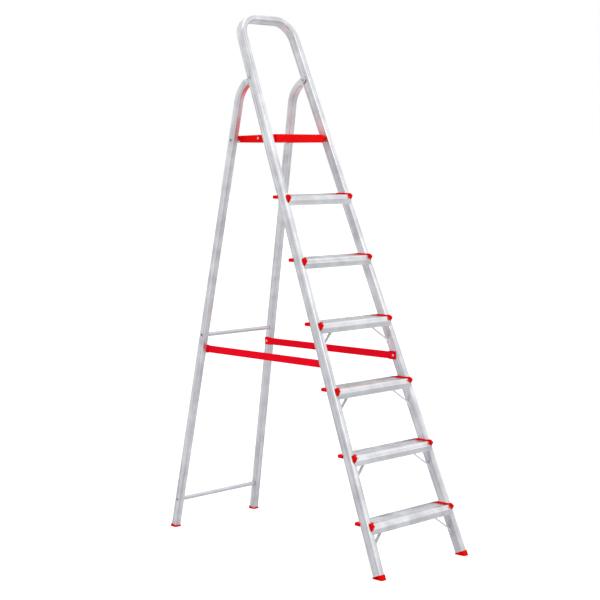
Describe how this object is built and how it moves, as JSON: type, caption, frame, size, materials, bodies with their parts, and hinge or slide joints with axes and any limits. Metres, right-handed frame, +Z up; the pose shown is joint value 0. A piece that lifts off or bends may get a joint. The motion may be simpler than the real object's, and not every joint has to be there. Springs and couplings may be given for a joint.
{
  "type": "step ladder",
  "caption": "Free-standing folding step ladder: bent-tube front frame with treads and hand loop, lift-up platform, hinged rear frame and two spread-limiting straps.",
  "frame": {"origin": "on the floor, midway between the outermost edges of the four feet", "axes": "+Z up; +Y is the way the climber faces, from the treads towards the rear frame; +X to the climber's right"},
  "size_m": [0.4946, 1.1408, 2.0218],
  "materials": {
    "tube_aluminium": "satin extruded tube with faint lengthwise draw lines",
    "tread_aluminium": "satin extruded profile with lengthwise grooves",
    "strip_aluminium": "plain rolled flat strip",
    "rivet_aluminium": "pressed blind rivet heads",
    "plated_steel": "bright zinc plate",
    "nylon": "natural moulded nylon",
    "moulding_red": "moulded polypropylene with a soft gloss",
    "strap_red": "ribbed extruded polypropylene strap",
    "platform_red": "red powder coat on pressed sheet"
  },
  "bodies": {
    "front_frame": {"brace_left_1": "strip_aluminium", "brace_left_2": "strip_aluminium", "brace_left_3": "strip_aluminium", "brace_left_4": "strip_aluminium", "brace_right_1": "strip_aluminium", "brace_right_2": "strip_aluminium", "brace_right_3": "strip_aluminium", "brace_right_4": "strip_aluminium", "brace_rivets": "rivet_aluminium", "front_foot_left": "moulding_red", "front_foot_right": "moulding_red", "front_foot_rivets": "rivet_aluminium", "front_frame": "tube_aluminium", "hinge_rivet_left": "plated_steel", "hinge_rivet_right": "plated_steel", "hinge_washers": "nylon", "platform_pin_left": "plated_steel", "platform_pin_right": "plated_steel", "platform_spacers": "moulding_red", "saddle_left_1": "moulding_red", "saddle_left_2": "moulding_red", "saddle_left_3": "moulding_red", "saddle_left_4": "moulding_red", "saddle_left_5": "moulding_red", "saddle_left_6": "moulding_red", "saddle_right_1": "moulding_red", "saddle_right_2": "moulding_red", "saddle_right_3": "moulding_red", "saddle_right_4": "moulding_red", "saddle_right_5": "moulding_red", "saddle_right_6": "moulding_red", "strap_front_rivets": "rivet_aluminium", "strap_left": "strap_red", "strap_right": "strap_red", "tread_1": "tread_aluminium", "tread_2": "tread_aluminium", "tread_3": "tread_aluminium", "tread_4": "tread_aluminium", "tread_5": "tread_aluminium", "tread_6": "tread_aluminium", "tread_rivets": "rivet_aluminium"},
    "rear_frame": {"crossbar_low": "tube_aluminium", "crossbar_middle": "tube_aluminium", "crossbar_top": "tube_aluminium", "rear_foot_left": "moulding_red", "rear_foot_right": "moulding_red", "rear_foot_rivets": "rivet_aluminium", "rear_leg_left": "tube_aluminium", "rear_leg_right": "tube_aluminium", "strap_rear_rivets": "rivet_aluminium"},
    "platform": {"platform": "platform_red", "platform_bracket_left": "plated_steel", "platform_bracket_right": "plated_steel", "platform_rivets": "rivet_aluminium"}
  },
  "joints": [
    {"name": "fold", "type": "hinge", "parent": "front_frame", "child": "rear_frame", "pos_m": [0, 0.18188, 1.77887], "axis": [-1, 0, 0], "range_deg": [0, 32], "deforming": ["strap_left", "strap_right"]},
    {"name": "platform_tilt", "type": "hinge", "parent": "front_frame", "child": "platform", "pos_m": [0, 0.08119, 1.55], "axis": [1, 0, 0], "range_deg": [0, 68]}
  ],
  "couplings": [
    {"joint": "platform_tilt", "follows": "fold", "ratio": 2.125}
  ]
}
